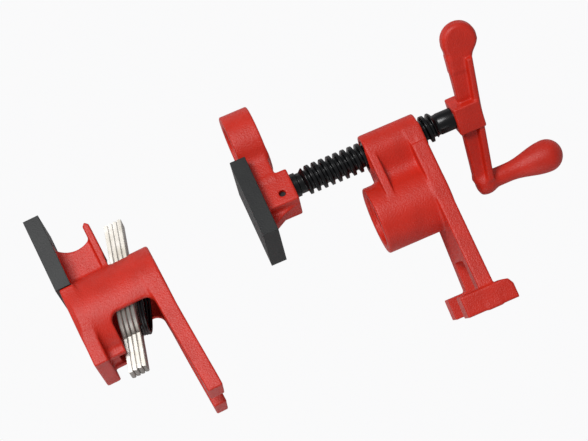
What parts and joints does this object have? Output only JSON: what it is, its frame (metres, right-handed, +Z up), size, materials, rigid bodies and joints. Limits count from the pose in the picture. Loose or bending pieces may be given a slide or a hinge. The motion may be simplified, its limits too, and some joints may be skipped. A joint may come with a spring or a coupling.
{
  "type": "pipe clamp set",
  "caption": "Loose screw head and sliding clutch tail of a woodworking pipe clamp, with crank, swivelling padded jaw and spring-loaded clutch plates.",
  "frame": {"origin": "centre of the head's pipe socket at its mouth, on the pipe's axis", "axes": "+X along the head's pipe socket and screw towards the crank, +Y from the pipe's axis to the screw's, +Z up off the table that both halves lie on"},
  "size_m": [0.2888, 0.1533, 0.0802],
  "materials": {
    "painted_castings": "satin, slightly pebbled",
    "black_steel": "satin black oxide",
    "pads": "matte",
    "zinc_plates": "brushed zinc",
    "pins": "satin"
  },
  "bodies": {
    "head": {"head_casting": "painted_castings"},
    "travel": {"thrust_washer": "black_steel"},
    "spindle": {"screw": "black_steel", "crank": "painted_castings", "crank_pin": "pins"},
    "moving_jaw": {"moving_jaw": "painted_castings", "moving_jaw_pad": "pads", "jaw_retaining_pin": "pins"},
    "tail": {"tail_casting": "painted_castings", "tail_pad": "pads"},
    "clutch_1": {"clutch_plate_1": "zinc_plates"},
    "clutch_2": {"clutch_plate_2": "zinc_plates"},
    "clutch_3": {"clutch_plate_3": "zinc_plates"},
    "clutch_4": {"clutch_plate_4": "zinc_plates", "clutch_spring": "black_steel"}
  },
  "joints": [
    {"name": "screw_travel", "type": "slide", "parent": "head", "child": "travel", "axis": [1, 0, 0], "range_m": [-0.019, 0.0335]},
    {"name": "screw_turn", "type": "hinge", "parent": "travel", "child": "spindle", "pos_m": [0, 0.0351, 0], "axis": [1, 0, 0], "range_deg": [-1615, 2848]},
    {"name": "jaw_swivel", "type": "hinge", "parent": "travel", "child": "moving_jaw", "pos_m": [0, 0.0351, 0], "axis": [1, 0, 0], "continuous": true},
    {"name": "tail_slide", "type": "slide", "parent": "head", "child": "tail", "axis": [0.9987, 0.0506, 0], "range_m": [-0.41, 0.03]},
    {"name": "clutch_tilt_1", "type": "hinge", "parent": "tail", "child": "clutch_1", "pos_m": [-0.13999, 0.03179, -0.00314], "axis": [-0.0128, 0.2517, 0.9677], "range_deg": [0, 15.3]},
    {"name": "clutch_tilt_2", "type": "hinge", "parent": "tail", "child": "clutch_2", "pos_m": [-0.13739, 0.03192, -0.00314], "axis": [-0.0128, 0.2517, 0.9677], "range_deg": [0, 15.3]},
    {"name": "clutch_tilt_3", "type": "hinge", "parent": "tail", "child": "clutch_3", "pos_m": [-0.13479, 0.03206, -0.00314], "axis": [-0.0128, 0.2517, 0.9677], "range_deg": [0, 15.3]},
    {"name": "clutch_tilt_4", "type": "hinge", "parent": "tail", "child": "clutch_4", "pos_m": [-0.1322, 0.03219, -0.00314], "axis": [-0.0128, 0.2517, 0.9677], "range_deg": [0, 15.3]}
  ],
  "couplings": [
    {"joint": "screw_travel", "follows": "screw_turn", "m_per_rad": 0.00067376},
    {"joint": "clutch_tilt_2", "follows": "clutch_tilt_1", "ratio": 1},
    {"joint": "clutch_tilt_3", "follows": "clutch_tilt_1", "ratio": 1},
    {"joint": "clutch_tilt_4", "follows": "clutch_tilt_1", "ratio": 1}
  ]
}
